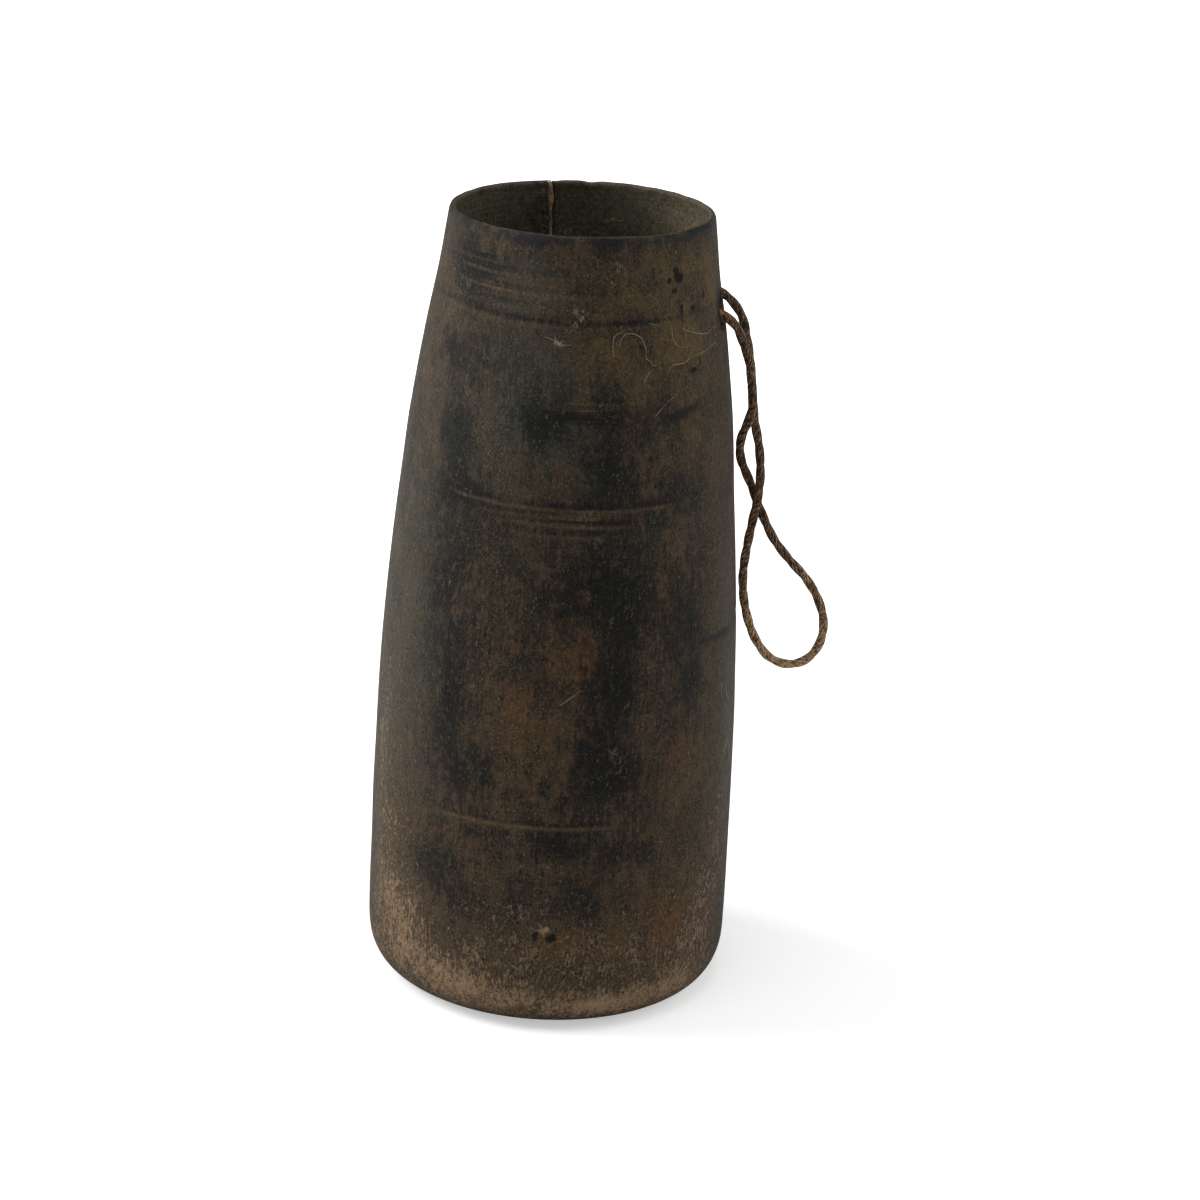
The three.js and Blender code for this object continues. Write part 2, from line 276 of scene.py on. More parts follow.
WALL_MARKS: dict[Tint, tuple[Mark, ...]] = {
    Tint.SOOT: patches(
        (-120, 358, 32, 15, 0.2), (-136, 362, 16, 12, 0.5), (-80, 344, 40, 3, 0.25), (-105, 321, 24, 16, 0.2),
        (-147, 323, 10, 8, 0.8), (-102, 297, 16, 11, 0.8), (-68, 304, 24, 4, 0.45), (-77, 280, 12, 18, 0.6),
        (-129, 276, 16, 22, 0.2), (-82, 226, 20, 20, 0.8), (-65, 214, 13, 16, 0.5), (-129, 212, 18, 26, 0.5),
        (-70, 175, 8, 40, 1.0), (-124, 165, 12, 40, 0.55), (-44, 171, 14, 24, 0.6), (-69, 130, 18, 15, 0.7),
        (-118, 128, 18, 14, 0.6), (-87, 97, 18, 8, 0.9), (-64, 91, 12, 7, 0.6), (-112, 99, 17, 3, 0.6, 14),
        (-127, 76, 14, 13, 0.8), (-117, 62, 14, 9, 0.5), (-100, 64, 8, 17, 0.7), (-78, 66, 12, 12, 0.5),
        (-32, 38, 12, 20, 0.6), (-76, 210, 36, 110, 0.2), (-55, 262, 30, 12, 0.35), (-127, 262, 15, 13, 0.65),
        (-112, 255, 30, 11, 0.35), (-134, 210, 11, 110, 0.3), (-128, 318, 12, 12, 0.5),
        (-46, 218, 16, 40, 0.3), (-108, 232, 16, 24, 0.25), (-42, 190, 9, 34, 0.35), (-127, 160, 7, 40, 0.3),
        (-92, 261, 13, 7, 0.4), (-44, 258, 10, 10, 0.3), (-123, 232, 9, 12, 0.3), (-134, 290, 12, 13, 0.6),
        (-142, 366, 22, 9, 0.45), (-137, 345, 9, 11, 0.35), (-80, 180, 8, 15, 0.5), (-79, 150, 9, 16, 0.4),
        (-90, 121, 10, 10, 0.4), (-47, 300, 14, 2.4, 1.1, 12), (-84, 301, 18, 2.4, 0.7, -4),
        (-26, 187, 12, 1.6, 0.9, -6), (60, 300, 40, 60, 0.5), (110, 180, 34, 80, 0.6),
        (170, 240, 34, 60, 0.6), (150, 90, 40, 30, 0.6), (30, 110, 22, 60, 0.5),
    ),
    Tint.WARM: patches(
        (-40, 60, 26, 26, 0.4), (-120, 92, 22, 12, 0.4), (-52, 220, 14, 30, 0.5), (-84, 191, 15, 17, 0.9),
        (-101, 155, 13, 30, 0.75), (-48, 136, 26, 22, 0.7), (-145, 112, 10, 36, 0.6), (-54, 52, 20, 18, 0.7),
        (-86, 48, 24, 10, 0.7), (-160, 300, 16, 20, 0.4), (10, 260, 40, 70, 0.4), (90, 120, 30, 60, 0.4),
        (140, 320, 30, 40, 0.45),
    ),
    Tint.OCHRE: patches(
        (-50, 328, 34, 30, 0.9), (-52, 367, 24, 8, 0.9), (-40, 284, 24, 20, 0.5), (-80, 328, 16, 18, 0.6),
        (-140, 345, 12, 18, 0.3), (-22, 358, 8, 14, 1.0), (-36, 120, 18, 50, 0.4),
    ),
    # Grey-green smoke tone; the tall marks at azimuths -158, -150, -20 and -18, near the pot's two sides, are
    # painted sheen.
    Tint.SMOKE: patches(
        (-112, 357, 26, 16, 0.9), (-105, 321, 26, 16, 0.8), (-102, 297, 18, 12, 0.8),
        (-105, 284, 52, 46, 0.5), (-133, 190, 14, 90, 0.55), (-18, 150, 12, 56, 0.5), (-77, 280, 13, 22, 0.5),
        (-158, 240, 26, 120, 0.7), (-150, 150, 22, 70, 0.4), (-20, 200, 16, 110, 0.5),
    ),
    Tint.TOOLED: patches(
        (-122, 357, 36, 16, 0.6), (-86, 254, 32, 10, 0.6), (-76, 306, 28, 8, 0.6), (-70, 330, 40, 6, 0.4),
        (-78, 18, 40, 14, 0.6), (80, 320, 50, 12, 0.7), (150, 280, 40, 10, 0.7), (60, 150, 40, 8, 0.6),
    ),
    # Dark spots; the marks at azimuths -12 and 13, on the cord holes, are painted shade of the holes.
    Tint.SPOT: patches(
        (-46.6, 362, 2.2, 2.8, 1.1), (-44.6, 361.4, 1.6, 1.8, 1.0), (-47.2, 365.5, 1.4, 1.6, 0.9),
        (-50.6, 361, 1.5, 1.7, 1.0), (-48.7, 356, 1.8, 1.7, 1.0), (-46.2, 351, 0.9, 2.0, 0.9),
        (-45.2, 346.5, 0.9, 3.2, 0.9), (-45.4, 341.5, 0.9, 2.0, 0.8), (-38.2, 346, 1.4, 2.2, 0.9),
        (-36.0, 341.6, 1.0, 2.4, 0.8, -25), (-30.2, 351.5, 0.8, 3.0, 0.8, 20),
        (-34.0, 347.5, 0.8, 2.4, 0.7, 40), (-45, 320, 6.5, 0.8, 1.0, -6), (-40.5, 319.3, 2.5, 1.1, 1.0),
        (-35.3, 320, 0.9, 4.0, 0.8, 20), (-51.8, 372.6, 0.7, 2.2, 0.8, -35), (-12, 338.5, 7, 10, 1.3),
        (13, 338, 6, 10, 0.7), (-88.4, 49.5, 3.0, 2.4, 1.1), (-93.0, 50.5, 2.2, 2.2, 1.0),
    ),
    Tint.WORN: patches(
        (-145, 42, 26, 24, 0.6), (-129, 24, 30, 12, 0.6), (-151, 66, 9, 26, 0.4), (-114, 62, 12, 8, 0.25),
        (-106, 17, 30, 9, 0.7), (-72, 13, 18, 7, 0.8), (-50, 14, 20, 7, 0.6), (-90, 7, 110, 15, 0.45),
        (-100, 62, 10, 8, 0.3), (-76, 42, 42, 24, 0.5), (-104, 44, 26, 16, 0.15), (-148, 90, 9, 14, 0.4),
        (-45, 25, 30, 22, 0.3), (-30, 45, 22, 38, 0.65), (-24, 92, 9, 18, 0.35), (-137, 92, 9, 13, 0.3),
        (-160, 128, 12, 40, 0.55), (-69, 148, 8, 12, 0.25), (-69, 288, 7, 8, 0.2), (-90, 345, 7, 8, 0.6),
        (-77, 367, 11, 6, 0.3), (-137, 54, 13, 22, 0.3), (-112, 38, 24, 13, 0.25), (-71, 359, 9, 9, 0.2),
        (-90.5, 53.5, 3.2, 2.0, 0.9), (-97, 335, 4.0, 1.8, 0.9, -35), (-23.7, 160, 2.5, 2.5, 0.7),
        (-19, 127, 7, 1.8, 0.7, 55), (-117.2, 171, 1.8, 2.0, 0.8), (-104, 158, 8, 16, 0.35),
        (-150, 352, 7, 20, 0.25), (-27, 352, 5, 12, 0.35), (-160, 60, 8, 50, 0.35), (20, 14, 40, 9, 0.6),
        (90, 16, 50, 10, 0.7), (170, 16, 40, 10, 0.6), (60, 40, 18, 14, 0.4),
    ),
}

INNER_MARKS: dict[Tint, tuple[Mark, ...]] = {
    Tint.SOOT: patches(
        (152, 356, 22, 16, 0.7), (112, 366, 7, 14, 0.9), (96, 352, 8, 14, 0.5), (66, 360, 14, 12, 0.5),
        # The mark at azimuth 101.6 is a dark strip down the crack's open edge: painted shade in the crack.
        (37, 368, 1.6, 2.0, 1.2), (101.6, 336, 2.4, 30, 1.8), (109, 352, 5, 14, 1.1),
    ),
    Tint.SMOKE: patches(
        (75, 370, 45, 12, 1.0), (20, 366, 20, 14, 0.9), (150, 372, 30, 8, 0.7),
    ),
    Tint.WARM: patches(
        (133, 365, 7, 6, 0.9), (44, 368, 12, 12, 0.5),
    ),
    Tint.WORN: patches(
        (30, 366, 16, 14, 0.8), (70, 366, 26, 12, 0.3), (108, 374, 3, 4, 0.6), (112, 371, 4, 2, 0.7),
        (76, 361, 2, 3, 0.6), (86, 358, 16, 10, 0.25),
    ),
}


@dataclass(frozen=True)
class CarvedBody:
    """The one-piece carved wood: wall, foot, floor and lip, with its cord holes and its drying crack."""

    form: PotForm
    segments = 240
    plain_step = 2.4 * MM
    ring_step = 0.8 * MM
    ring_reach = 3 * MM
    groove_width = 1.3
    inner_step = 5 * MM
    fine_inner_step = 1.8 * MM
    fine_inner_height = 320 * MM
    floor_rings = 14
    underside_rings = 11
    foot_rings = 18
    lip_rings = 8
    corner_rings = 12
    corner_gap = 6 * MM
    # Depth, height and half width in millimetres of each swell of the outer wall.
    swells = ((0.8, 275, 70), (-0.8, 351, 18))
    # Depth in millimetres, scale across, scale upward and start of each ripple.
    outer_ripples = ((0.55, 22, 14, 0), (0.22, 75, 30, 0))
    inner_ripples = ((0.7, 30, 22, 5), (0.25, 110, 60, 0))
    ripple_height = 40 * MM
    groove_reach = 5
    lip_reach = 9 * MM
    # Azimuth, half width in degrees and depth in millimetres of each dent in the lip.
    lip_dents = ((-61, 1.6, 0.55), (87, 3.2, 0.6), (103, 2.0, 0.35), (-38, 2.2, 0.3))

    def build(self, holes: list[CordHole], crack: DryingCrack) -> Piece:
        """Makes the finished body.

        Args:
            holes: The cord's two holes.
            crack: The crack in the back wall.

        Returns:
            The body, cut and painted, with its wood.
        """
        shape = self._spin()
        for vert in shape.verts:
            vert.co = self._place(vert.co)
        body = solid_from(shape, "carved_body")
        cut(body, [hole.cutter() for hole in holes] + [crack.cutter()])
        self._tint(body)
        return dress(body, 38, SmokedWood().material())

    def _outline(self) -> list[tuple[float, float]]:
        """Radius and height from the middle of the underside round the lip to the middle of the floor."""
        form = self.form
        points = [(form.belly_radius * step / self.floor_rings, 0.0) for step in range(self.underside_rings)]
        for step in range(1, self.foot_rings + 1):
            angle = math.pi / 2 * step / self.foot_rings
            out = math.sin(angle) ** (2 / form.foot_power)
            up = max(0.0, math.cos(angle)) ** (2 / form.foot_power)
            z = form.foot_height * (1 - up)
            points.append((form.outer_radius(z) - form.foot_inset * (1 - out), z))
        lip_base = form.height - form.lip / 2
        points += [(form.outer_radius(z), z) for z in self._heights(form.foot_height, lip_base)]
        half = form.lip / 2
        for step in range(self.lip_rings + 1):
            angle = math.pi * step / self.lip_rings
            radius = form.rim_radius - half + half * math.cos(angle)
            points.append((radius, lip_base + half * math.sin(angle)))
        corner_top = form.floor + form.floor_corner
        z = lip_base
        while z > corner_top + self.corner_gap:
            z -= self.fine_inner_step if z > self.fine_inner_height else self.inner_step
            points.append((form.inner_radius(z), z))
        for step in range(self.corner_rings + 1):
            angle = math.pi / 2 * step / self.corner_rings
            z = form.floor + form.floor_corner * (1 - math.sin(angle))
            points.append((form.inner_radius(z) - form.floor_corner * (1 - math.cos(angle)), z))
        last = points[-1][0]
        steps = range(1, self.floor_rings + 1)
        points += [(last * (1 - step / self.floor_rings), form.floor) for step in steps]
        return points

    def _heights(self, bottom: float, top: float) -> list[float]:
        """Row heights up the outer wall, closer together at each tool ring."""
        heights = []
        z = bottom
        while z < top - self.ring_step:
            nearest = min(abs(z - ring.height * MM) for ring in TOOL_RINGS)
            z += self.ring_step if nearest < self.ring_reach else self.plain_step
            heights.append(min(z, top - self.ring_step / 2))
        return heights

    def _spin(self) -> bmesh.types.BMesh:
        """Spins the outline into a closed vessel."""
        shape = bmesh.new()
        rows = [shape.verts.new((radius, 0, z)) for radius, z in self._outline()]
        for lower, upper in zip(rows, rows[1:]):
            shape.edges.new((lower, upper))
        bmesh.ops.spin(
            shape,
            geom=shape.verts[:] + shape.edges[:],
            cent=(0, 0, 0),
            axis=(0, 0, 1),
            angle=FULL_TURN,
            steps=self.segments,
            use_merge=True,
        )
        bmesh.ops.remove_doubles(shape, verts=shape.verts, dist=WELD_DISTANCE)
        return shape

    def _place(self, point: Vector) -> Vector:
        """Moves a point of the spun form by the carver's swell, facets, grooves and wavy lip."""
        form = self.form
        z = point.z
        radius = math.hypot(point.x, point.y)
        if radius < WELD_DISTANCE:
            return point.copy()
        azimuth = math.degrees(math.atan2(point.y, point.x))
        outward = Vector((point.x, point.y, 0)) / radius
        outer = z < form.floor or radius > form.outer_radius(z) - form.wall_at(z) / 2
        rise = min(1.0, z / self.ripple_height) if outer else 1.0
        shift = 0.0
        for depth, height, width in self.swells if outer else ():
            shift += depth * bell(z / MM, height, width)
        for depth, across, up, start in self.outer_ripples if outer else self.inner_ripples:
            shift += depth * rise * ripple(point.x * across + start, point.y * across, z * up)
        for ring in TOOL_RINGS if outer else ():
            if abs(z / MM - ring.height) < self.groove_reach:
                deep = ring.value(np.array([azimuth]), np.array([z]), self.groove_width)[0]
                shift -= ring.depth * deep
        moved = point + outward * shift * MM
        near_lip = max(0.0, 1 - (form.height - z) / self.lip_reach)
        if near_lip > 0:
            moved.z += self._lip_wave(azimuth) * near_lip * MM
        return form.carve(moved)

    def _lip_wave(self, azimuth: float) -> float:
        """Millimetres that the worn lip stands higher or lower at an azimuth."""
        angle = math.radians(azimuth)
        wave = 0.35 * ripple(math.cos(angle) * 2.3, math.sin(angle) * 2.3, 7)
        wave += 0.2 * ripple(math.cos(angle) * 9, math.sin(angle) * 9, 3)
        for place, half_width, depth in self.lip_dents:
            wave -= depth * bell(turn_from(place, azimuth), 0, half_width)
        return wave

    def _tint(self, body: Piece) -> None:
        """Writes each tint's vertex attribute from the marks and the tool rings."""
        form = self.form
        mesh = body.data
        place = np.zeros(len(mesh.vertices) * 3, np.float32)
        mesh.vertices.foreach_get("co", place)
        place = place.reshape(-1, 3).astype(float)
        z = place[:, 2]
        share = np.clip((z - form.lean_start) / (form.height - form.lean_start), 0, 1.2) ** 2
        x = place[:, 0] - form.rim_lean * share
        radius = np.hypot(x, place[:, 1])
        azimuth = np.degrees(np.arctan2(place[:, 1], x))
        middle = np.array([form.outer_radius(h) - form.wall_at(h) / 2 for h in z])
        inside = np.clip((middle - radius) / MM + 0.5, 0, 1) * (z > form.floor - MM)
        values = {tint: np.zeros(len(z)) for tint in Tint}
        for share, table in ((1 - inside, WALL_MARKS), (inside, INNER_MARKS)):
            for tint, marks in table.items():
                values[tint] += share * sum(mark.value(azimuth, z, radius) for mark in marks)
        # Below each groove a pale line and above it a dark one, which is added to the soot tint: painted
        # highlight and painted shade of the groove.
        for ring in TOOL_RINGS:
            below = ring.value(azimuth, z + 1.1 * MM, self.groove_width)
            values[Tint.LINE] += ring.pale * below * (1 - inside)
            above = ring.value(azimuth, z - 1.2 * MM, self.groove_width)
            values[Tint.SOOT] += 1.2 * ring.depth * above * (1 - inside)
        rim = z - (form.rim_rise_right * x - form.rim_rise_front * place[:, 1]) / form.rim_radius
        values[Tint.LIP] = np.clip(1 - (form.height - 1.5 * MM - rim) / (6 * MM), 0, 1)
        # A painted highlight: a broken pale line along the lip's crest on the half that faces the camera. It
        # goes into the worn tint and out of the lip's dark band.
        painted_lip_highlight = np.exp(-(((radius - middle) / MM - 0.5) ** 2) / 1.6) * (rim > form.height - 2.2 * MM)
        painted_lip_highlight *= np.clip(-np.sin(np.radians(azimuth)), 0, 1) ** 0.5
        painted_lip_highlight *= 0.7 + 0.5 * np.sin(np.radians(azimuth * 9)) * np.sin(np.radians(azimuth * 3.7 + 40))
        values[Tint.LIP] *= (1 - 0.8 * np.clip(painted_lip_highlight, 0, 1)) * (1 - 0.7 * inside)
        values[Tint.WORN] += 0.55 * painted_lip_highlight
        values[Tint.INSIDE] = inside
        for tint, value in values.items():
            attribute = mesh.attributes.new(tint.value, "FLOAT", "POINT")
            attribute.data.foreach_set("value", value.astype(np.float32))


@dataclass(frozen=True)
class CordHole:
    """An oval hole through the wall, burnt or cut, with edges worn round by the cord.

    Attributes:
        form: The pot's form.
        azimuth: Azimuth of its middle in degrees.
        height: Height of its middle.
        width: Width of its waist.
        tall: Height of its waist.
        flare: How far its edges are worn back.
        segments: Points round it.
        steps: Rings from the middle of the wall to each end of the plug.
        wall_steps: How many of those lie inside the wall.
        lower_wear: How much of the wear its lower edge has.
    """

    form: PotForm
    azimuth: float
    height: float
    width: float = 11 * MM
    tall: float = 15 * MM
    flare: float = 2.4 * MM
    segments: int = 40
    steps: int = 7
    wall_steps: int = 4
    lower_wear: float = 0.25

    def cutter(self) -> Piece:
        """A waisted oval plug, wider at both faces of the wall, so that it leaves worn edges."""
        outer = self.form.outer_radius(self.height)
        inner = self.form.inner_radius(self.height)
        _, sideways = self.form.directions(self.azimuth)
        rings = []
        for step in range(-self.steps, self.steps + 1):
            share = step / self.wall_steps
            flare = self.flare * min(3.0, abs(share) ** 3)
            distance = (outer + inner) / 2 + (outer - inner) / 2 * share
            middle = self.form.polar(self.azimuth, distance, self.height)
            ring = []
            for point in range(self.segments):
                angle = FULL_TURN * point / self.segments
                ragged = 1 + 0.03 * math.sin(3 * angle + self.azimuth) + 0.02 * math.sin(5 * angle)
                across = (self.width / 2 + flare) * ragged * math.cos(angle)
                worn = flare if math.sin(angle) > 0 else self.lower_wear * flare
                up = (self.tall / 2 + worn) * ragged * math.sin(angle)
                ring.append(middle + sideways * across + Vector((0, 0, up)))
            rings.append(ring)
        return lofted("hole_cutter", rings)


@dataclass(frozen=True)
class DryingCrack:
    """The crack down the back wall, widest at the rim, and the filler pressed into it from outside.

    Inside the pot its right edge stays open as a dark groove.
    """

    form: PotForm
    azimuth = 104.6
    depth = 114 * MM
    filler_width = 1.25 * MM
    open_width = 1.5 * MM
    slant = 0.35
    narrowest = 0.25
    start_side = 1.5 * MM
    drift = 4.2 * MM
    drift_length = 26 * MM
    above_rim = 8 * MM
    below_rim = 0.4 * MM
    rows = 60
    segments = 24

    def _wander(self, z: float) -> float:
        """Sideways place of the crack at a height, which drifts to the right as it runs down."""
        down = max(0.0, self.form.height - z) / self.drift_length
        drift = self.start_side - self.drift * (1 - math.exp(-down))
        ragged = 0.4 * ripple(3.1, 0, z * 60) + 0.2 * ripple(9, 0, z * 190)
        return drift + ragged * MM

    def _share(self, z: float) -> float:
        """How open the crack is at a height, from a hair at its end to 1 at the rim."""
        bottom = self.form.height - self.depth
        up = min(1.0, max(0.0, (z - bottom) / self.depth))
        return self.narrowest + (1 - self.narrowest) * up**0.6

    def _wall_point(self, side: float, distance: float, z: float) -> Vector:
        """Point on the crack's own upright plane, sideways from it and out from the axis."""
        form = self.form
        outward, sideways = form.directions(self.azimuth)
        across = side + self._wander(z) + self.slant * (distance - form.inner_radius(z))
        return outward * distance + sideways * across + Vector((form.rim_lean * form.rim_share(z), 0, z))

    def _heights(self, bottom: float, top: float) -> list[float]:
        """Heights of the rings that the crack's shapes are made of."""
        return [bottom + (top - bottom) * row / self.rows for row in range(self.rows + 1)]

    def cutter(self) -> Piece:
        """The crack's whole width as a wandering blade through the wall."""
        reach = self.form.belly_radius
        rings = []
        for z in self._heights(self.form.height - self.depth, self.form.height + self.above_rim):
            wide = self._share(z) * (1 + 0.5 * bell(z / MM, 373, 6))
            left = (self.filler_width / 2 + 0.4 * MM) * wide
            right = -(self.filler_width / 2 + self.open_width) * self._share(z)
            corners = ((left, 0.4), (left, 1.2), (right, 1.2), (right, 0.4))
            rings.append([self._wall_point(side, reach * share, z) for side, share in corners])
        return lofted("crack_cutter", rings)

    def filler(self) -> Piece:
        """The dried strip of gum and fibre, lumpy, broader at the rim and a little proud of the wall."""
        form = self.form
        rings = []
        for z in self._heights(form.height - self.depth + 0.6 * MM, form.height - self.below_rim):
            middle = (form.inner_radius(z) + form.outer_radius(z)) / 2
            swell = 1 + 1.2 * bell(z / MM, 372, 5) + 0.3 * ripple(0, 0, z * 300)
            half = self.filler_width / 2 * self._share(z) * swell
            ring = []
            for point in range(self.segments):
                angle = FULL_TURN * point / self.segments
                across = math.copysign(abs(math.cos(angle)) ** 0.6, math.cos(angle))
                through = math.copysign(abs(math.sin(angle)) ** 0.25, math.sin(angle))
                lump = 0.3 + 0.3 * ripple(across, through, z * 260)
                side = across * half * (1 + 0.15 * ripple(across, 3, z * 500))
                if across < 0 and through > 0.5:
                    side += across * self.open_width * self._share(z)
                place = self._wall_point(side, middle + through * (form.wall_at(z) / 2 + lump * MM), z)
                rise = (form.rim_rise_right * place.x - form.rim_rise_front * place.y) / form.rim_radius
                ring.append(place + Vector((0, 0, rise * form.rim_share(z))))
            rings.append(ring)
        return dress(lofted("filler_strip", rings), 60, DriedGum().material())


# Cord

CURVE_PARTS = 16
# Where hands have rubbed the cord pale, in millimetres along it, and how far to each side.
RUBBED_MIDDLE = 215
RUBBED_REACH = 90


@dataclass(frozen=True)
class CordSection:
    """A two-ply cord's section and the length of one full twist."""

    diameter: float = 4.5 * MM
    waist: float = 0.82
    points: int = 28
    pitch: float = 21 * MM

    def outline(self) -> list[tuple[float, float]]:
        """The section's points, two round plies side by side."""
        found = []
        for step in range(self.points):
            angle = FULL_TURN * step / self.points
            radius = self.diameter / 2 * (self.waist + (1 - self.waist) * abs(math.cos(angle)) ** 0.9)
            found.append((radius * math.cos(angle), radius * math.sin(angle)))
        return found


def centripetal(route: list[Vector], step: float) -> list[Vector]:
    """Evenly spaced points along the centripetal Catmull-Rom curve through a route.

    Args:
        route: The points that the curve goes through.
        step: Distance between the points returned.

    Returns:
        The points, the first and last being the route's own.
    """
    ends = [2 * route[0] - route[1], *route, 2 * route[-1] - route[-2]]
    fine = []
    for a, b, c, d in zip(ends, ends[1:], ends[2:], ends[3:]):
        t0 = 0.0
        t1 = t0 + math.sqrt((b - a).length)
        t2 = t1 + math.sqrt((c - b).length)
        t3 = t2 + math.sqrt((d - c).length)
        for part in range(CURVE_PARTS):
            t = t1 + (t2 - t1) * part / CURVE_PARTS
            ab = a.lerp(b, (t - t0) / (t1 - t0))
            bc = b.lerp(c, (t - t1) / (t2 - t1))
            cd = c.lerp(d, (t - t2) / (t3 - t2))
            before = ab.lerp(bc, (t - t0) / (t2 - t0))
            after = bc.lerp(cd, (t - t1) / (t3 - t1))
            fine.append(before.lerp(after, (t - t1) / (t2 - t1)))
    fine.append(route[-1])
    reach = [0.0]
    for before, after in zip(fine, fine[1:]):
        reach.append(reach[-1] + (after - before).length)
    count = max(2, round(reach[-1] / step))
    even = []
    place = 0
    for index in range(count + 1):
        wanted = reach[-1] * index / count
        while place < len(fine) - 2 and reach[place + 1] < wanted:
            place += 1
        span = reach[place + 1] - reach[place]
        even.append(fine[place].lerp(fine[place + 1], (wanted - reach[place]) / span))
    return even


def twisted_tube(name: str, line: list[Vector], section: CordSection) -> Piece:
    """A closed mesh tube of plied cord along a line.

    Args:
        name: The piece's name.
        line: Evenly spaced points of its centreline.
        section: The cord's section and twist.

    Returns:
        The piece, with an attribute that runs round the cord and along it.
    """
    profile = bpy.data.curves.new(name + "_section", "CURVE")
    ring = profile.splines.new("POLY")
    ring.points.add(section.points - 1)
    ring.use_cyclic_u = True
    for point, (x, y) in zip(ring.points, section.outline()):
        point.co = (-x, y, 0, 1)
    profile_object = add_object(name + "_section", profile)
    path = bpy.data.curves.new(name + "_path", "CURVE")
    path.dimensions = "3D"
    path.twist_mode = "MINIMUM"
    path.bevel_mode = "OBJECT"
    path.bevel_object = profile_object
    path.use_fill_caps = True
    spline = path.splines.new("POLY")
    spline.points.add(len(line) - 1)
    travelled = 0.0
    for index, point in enumerate(line):
        if index:
            travelled += (point - line[index - 1]).length
        spline.points[index].co = (*point, 1)
        spline.points[index].tilt = FULL_TURN * travelled / section.pitch
    path_object = add_object(name + "_path", path)
    mesh = evaluated_mesh(path_object)
    for item in (profile_object, path_object):
        bpy.data.objects.remove(item)
    shape = bmesh.new()
    shape.from_mesh(mesh)
    bpy.data.meshes.remove(mesh)
    turns = shape.loops.layers.uv[0]
    lay = shape.verts.layers.float_vector.new(LAY_ATTRIBUTE)
    rubbed = shape.verts.layers.float.new(RUBBED_ATTRIBUTE)
    for vert in shape.verts:
        along, around = vert.link_loops[0][turns].uv
        angle = FULL_TURN * around
        reach = section.diameter / 2
        vert[lay] = (reach * math.cos(angle), reach * math.sin(angle), along * travelled)
        vert[rubbed] = max(0.0, 1 - abs(along * travelled / MM - RUBBED_MIDDLE) / RUBBED_REACH)
    bmesh.ops.remove_doubles(shape, verts=shape.verts, dist=WELD_DISTANCE)
    return solid_from(shape, name)


class CordLoop:
    """One plied cord, from a knot inside the wall out through a hole, round its eye and back."""

    # The free loop's route, chosen one by one: outward, sideways and up in millimetres, from the wall at the
    # height of the front pivot.
    route = (
        (9.9, -3.35, -13.8), (12.9, -2.6, -21.8), (15.4, -2.5, -36.4), (15.9, -2.5, -44.4),
        (14.4, -2.2, -51.8), (12.1, -1.1, -59), (11.5, -0.1, -65.8), (12.7, 0.4, -72.2), (15.2, 1.2, -78),
        (18.4, 2.3, -85), (21.6, 2.6, -92.8), (25.2, 1.6, -100.6), (30.6, 0.3, -110.4), (38.2, 0, -119.8),
        (47.4, 0, -129.6), (54, 0, -140.4), (57.2, 0, -152), (55.6, 0, -163.2), (49.6, 0, -171.2),
        (41, 0, -173.7), (32, 0, -170.3), (25.2, 0, -161.8), (20.6, 0, -151), (17.8, 0, -139), (17, 0, -127),
        (18.2, -0.3, -113), (20.2, -2.2, -97.6), (21.4, -2.5, -88.8), (22, -1.2, -79.8), (20.8, 0.2, -66.2),
        (17.6, 1.9, -51.8), (16.2, 2.5, -41.8), (14, 2.6, -25), (11.8, 3.3, -13.8),
    )
    pivot_height = 333.4 * MM
    step = 0.8 * MM
    # Where the cord would start to swing with the loop and where it would do so fully, in millimetres from
    # the wall.
    bend_start = -3
    bend_end = 11

    def __init__(self, form: PotForm, section: CordSection) -> None:
        """Keeps the pot's form and the cord's section."""
        self.form = form
        self.section = section
        self.front_lead = [
            form.polar(-9.3, 58.6 * MM, 339.0 * MM),
            form.polar(-8.6, 68.4 * MM, 335.3 * MM),
            Vector((75.1, -7.7, 329.0)) * MM,
        ]
        self.rear_lead = [
            form.polar(13.9, 58.6 * MM, 340.2 * MM),
            form.polar(12.9, 68.8 * MM, 338.9 * MM),
            Vector((77.2, 9.4, 331.2)) * MM,
        ]

    def line(self) -> list[Vector]:
        """The whole centreline from knot to knot."""
        wall = self.form.polar(0, self.form.outer_radius(self.pivot_height), self.pivot_height)
        middle = [wall + Vector(point) * MM for point in self.route]
        return centripetal(self.front_lead + middle + self.rear_lead[::-1], self.step)

    def build(self, knots: list[Piece]) -> Piece:
        """Args:
            knots: The stopper knots on its two ends. Not used.

        Returns:
            The cord, which runs from the pot round its eye and back.
        """
        line = self.line()
        cord = dress(twisted_tube("plied_cord", line, self.section), 80, PlantFibre().material())
        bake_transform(cord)
        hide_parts("hanging_cord", "front_cord_lead", "rear_cord_lead")
        return cord


